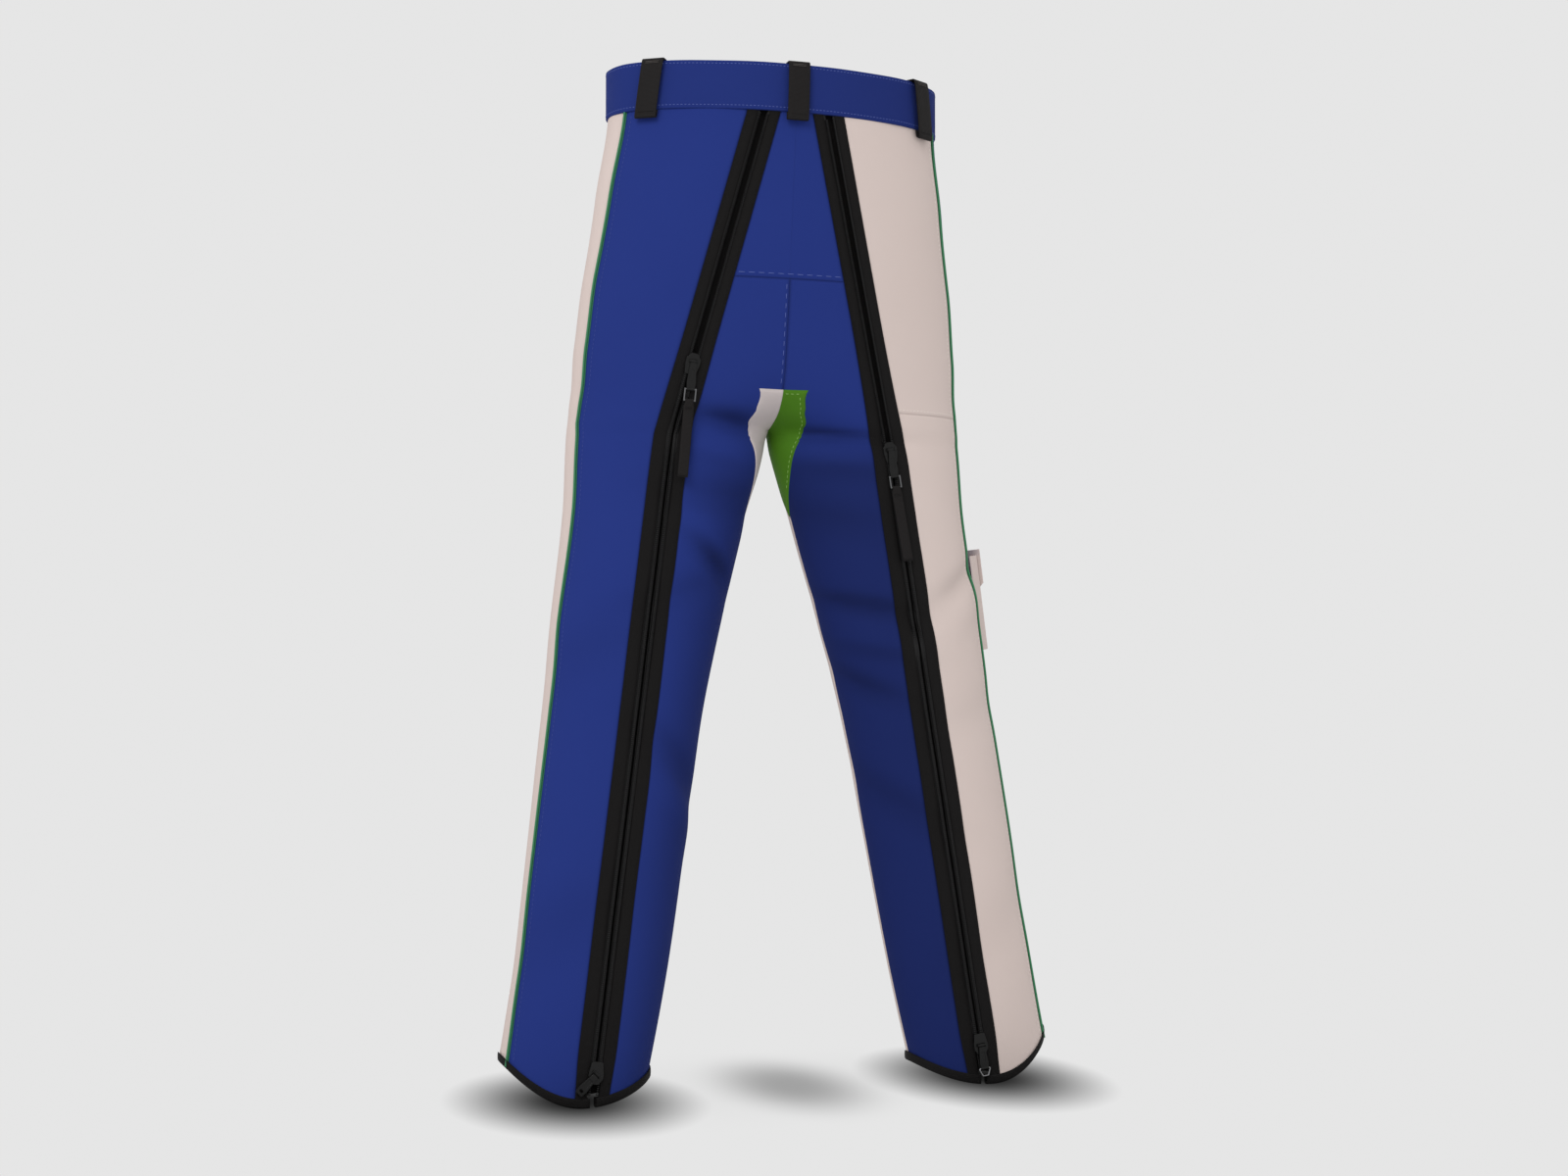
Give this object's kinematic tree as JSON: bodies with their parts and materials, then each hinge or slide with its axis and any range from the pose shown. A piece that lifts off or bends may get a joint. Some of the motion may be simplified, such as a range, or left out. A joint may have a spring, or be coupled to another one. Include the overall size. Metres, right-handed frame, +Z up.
{
  "type": "chainsaw chaps",
  "caption": "Full-wrap chainsaw chaps with a waistband, belt loops, cut-protection pads and full-length back leg zips with sliders and pull straps.",
  "frame": {"origin": "on the ground plane under the middle of the garment, midway between the legs", "axes": "+X towards the wearer's right, +Y towards the wearer's front, +Z up towards the waist"},
  "size_m": [0.6072, 0.1878, 1.1021],
  "materials": {
    "blue_fabric": "matt woven polyamide",
    "cream_fabric": "matt woven polyamide",
    "green_fabric": "matt woven polyamide",
    "green_piping": "satin piping",
    "black_webbing": "ribbed webbing",
    "black_zip_tape": "woven tape",
    "black_coil": "moulded coil",
    "black_metal": "gloss black enamel",
    "wire": "plain wire",
    "lining_fabric": "smooth lining",
    "pad_fibre": "knitted protective fibre"
  },
  "bodies": {
    "garment": {"back_yoke": "blue_fabric", "belt_loop_back_centre": "black_webbing", "belt_loop_back_left": "black_webbing", "belt_loop_back_right": "black_webbing", "belt_loop_front_left": "black_webbing", "belt_loop_front_right": "black_webbing", "cargo_pocket_pouch": "cream_fabric", "fly_placket": "blue_fabric", "fly_zip": "black_coil", "front_hip_lining": "lining_fabric", "left_back_inner_panel": "blue_fabric", "left_back_outer_panel": "blue_fabric", "left_crotch_gusset": "cream_fabric", "left_cut_protection_pad": "pad_fibre", "left_front_inner_panel": "blue_fabric", "left_front_outer_panel": "cream_fabric", "left_hem_binding": "black_webbing", "left_leg_lining": "lining_fabric", "left_side_piping": "green_piping", "left_zip_backing": "black_zip_tape", "left_zip_coil": "black_coil", "left_zip_inner_tape": "black_zip_tape", "left_zip_outer_tape": "black_zip_tape", "pocket_closure_tape": "black_zip_tape", "right_back_inner_panel": "blue_fabric", "right_back_outer_lower_panel": "cream_fabric", "right_back_outer_upper_panel": "cream_fabric", "right_crotch_gusset": "green_fabric", "right_cut_protection_pad": "pad_fibre", "right_front_inner_panel": "cream_fabric", "right_front_outer_panel": "blue_fabric", "right_hem_binding": "black_webbing", "right_leg_lining": "lining_fabric", "right_side_piping": "green_piping", "right_zip_backing": "black_zip_tape", "right_zip_coil": "black_coil", "right_zip_inner_tape": "black_zip_tape", "right_zip_outer_tape": "black_zip_tape", "seat_lining": "lining_fabric", "waist_button": "black_metal", "waistband": "blue_fabric", "waistband_facing": "blue_fabric"},
    "cargo_pocket_flap": {"cargo_pocket_flap": "cream_fabric"},
    "fly_slider": {"fly_slider": "black_metal"},
    "right_lower_wire_loop": {"right_lower_wire_loop": "wire"},
    "left_upper_slider": {"left_upper_slider": "black_metal"},
    "left_upper_pull_tab": {"left_upper_pull_tab": "black_metal"},
    "left_upper_pull_ring": {"left_upper_pull_ring": "black_metal"},
    "left_upper_pull_strap": {"left_upper_pull_strap": "black_webbing"},
    "right_upper_slider": {"right_upper_slider": "black_metal"},
    "right_upper_pull_tab": {"right_upper_pull_tab": "black_metal"},
    "right_upper_pull_ring": {"right_upper_pull_ring": "black_metal"},
    "right_upper_pull_strap": {"right_upper_pull_strap": "black_webbing"},
    "left_lower_slider": {"left_lower_slider": "black_metal"},
    "left_lower_pull_tab": {"left_lower_pull_tab": "black_metal"},
    "right_lower_slider": {"right_lower_slider": "black_metal"},
    "right_lower_pull_tab": {"right_lower_pull_tab": "black_metal"}
  },
  "joints": [
    {"name": "left_upper_slider_slide", "type": "slide", "parent": "garment", "child": "left_upper_slider", "axis": [0.2417, -0.1509, 0.9585], "range_m": [-0.013, 0.225]},
    {"name": "left_upper_pull_tab_hinge", "type": "hinge", "parent": "left_upper_slider", "child": "left_upper_pull_tab", "pos_m": [-0.10426, -0.0478, 0.78118], "axis": [-0.987, 0.1339, 0.0888], "range_deg": [0, 120]},
    {"name": "left_upper_pull_ring_hinge", "type": "hinge", "parent": "left_upper_pull_tab", "child": "left_upper_pull_ring", "pos_m": [-0.10618, -0.04237, 0.75173], "axis": [-0.987, 0.1339, 0.0888], "range_deg": [0, 40]},
    {"name": "left_upper_pull_strap_hinge", "type": "hinge", "parent": "left_upper_pull_ring", "child": "left_upper_pull_strap", "pos_m": [-0.10703, -0.04082, 0.73987], "axis": [-0.987, 0.1339, 0.0888], "range_deg": [0, 30]},
    {"name": "right_upper_slider_slide", "type": "slide", "parent": "garment", "child": "right_upper_slider", "axis": [-0.1349, 0.0617, 0.9889], "range_m": [-0.28, 0]},
    {"name": "right_upper_pull_tab_hinge", "type": "hinge", "parent": "right_upper_slider", "child": "right_upper_pull_tab", "pos_m": [0.12416, -0.03648, 0.69431], "axis": [-0.9905, 0.0173, -0.1362], "range_deg": [0, 110]},
    {"name": "right_upper_pull_ring_hinge", "type": "hinge", "parent": "right_upper_pull_tab", "child": "right_upper_pull_ring", "pos_m": [0.12824, -0.03676, 0.66459], "axis": [-0.9905, 0.0173, -0.1362], "range_deg": [0, 40]},
    {"name": "right_upper_pull_strap_hinge", "type": "hinge", "parent": "right_upper_pull_ring", "child": "right_upper_pull_strap", "pos_m": [0.12986, -0.0375, 0.65273], "axis": [-0.9905, 0.0173, -0.1362], "range_deg": [0, 30]},
    {"name": "left_lower_slider_slide", "type": "slide", "parent": "garment", "child": "left_lower_slider", "axis": [0.1349, 0.0617, 0.9889], "range_m": [0, 0.3]},
    {"name": "left_lower_pull_tab_hinge", "type": "hinge", "parent": "left_lower_slider", "child": "left_lower_pull_tab", "pos_m": [-0.21407, -0.0776, 0.03536], "axis": [-0.6975, 0.0244, 0.7162], "range_deg": [0, 120]},
    {"name": "right_lower_slider_slide", "type": "slide", "parent": "garment", "child": "right_lower_slider", "axis": [-0.1349, 0.0617, 0.9889], "range_m": [0, 0.3]},
    {"name": "right_lower_pull_tab_hinge", "type": "hinge", "parent": "right_lower_slider", "child": "right_lower_pull_tab", "pos_m": [0.21298, -0.0771, 0.04336], "axis": [-0.9905, 0.0173, -0.1362], "range_deg": [0, 120]},
    {"name": "right_lower_wire_loop_hinge", "type": "hinge", "parent": "right_lower_pull_tab", "child": "right_lower_wire_loop", "pos_m": [0.21638, -0.07734, 0.01859], "axis": [-0.9905, 0.0173, -0.1362], "range_deg": [0, 60]},
    {"name": "fly_slider_slide", "type": "slide", "parent": "garment", "child": "fly_slider", "axis": [0, -0.023, 0.9997], "range_m": [-0.105, 0.02]},
    {"name": "cargo_pocket_flap_hinge", "type": "hinge", "parent": "garment", "child": "cargo_pocket_flap", "pos_m": [0.22728, 0.05638, 0.58547], "axis": [0.729, -0.6782, 0.0926], "range_deg": [0, 150]}
  ]
}
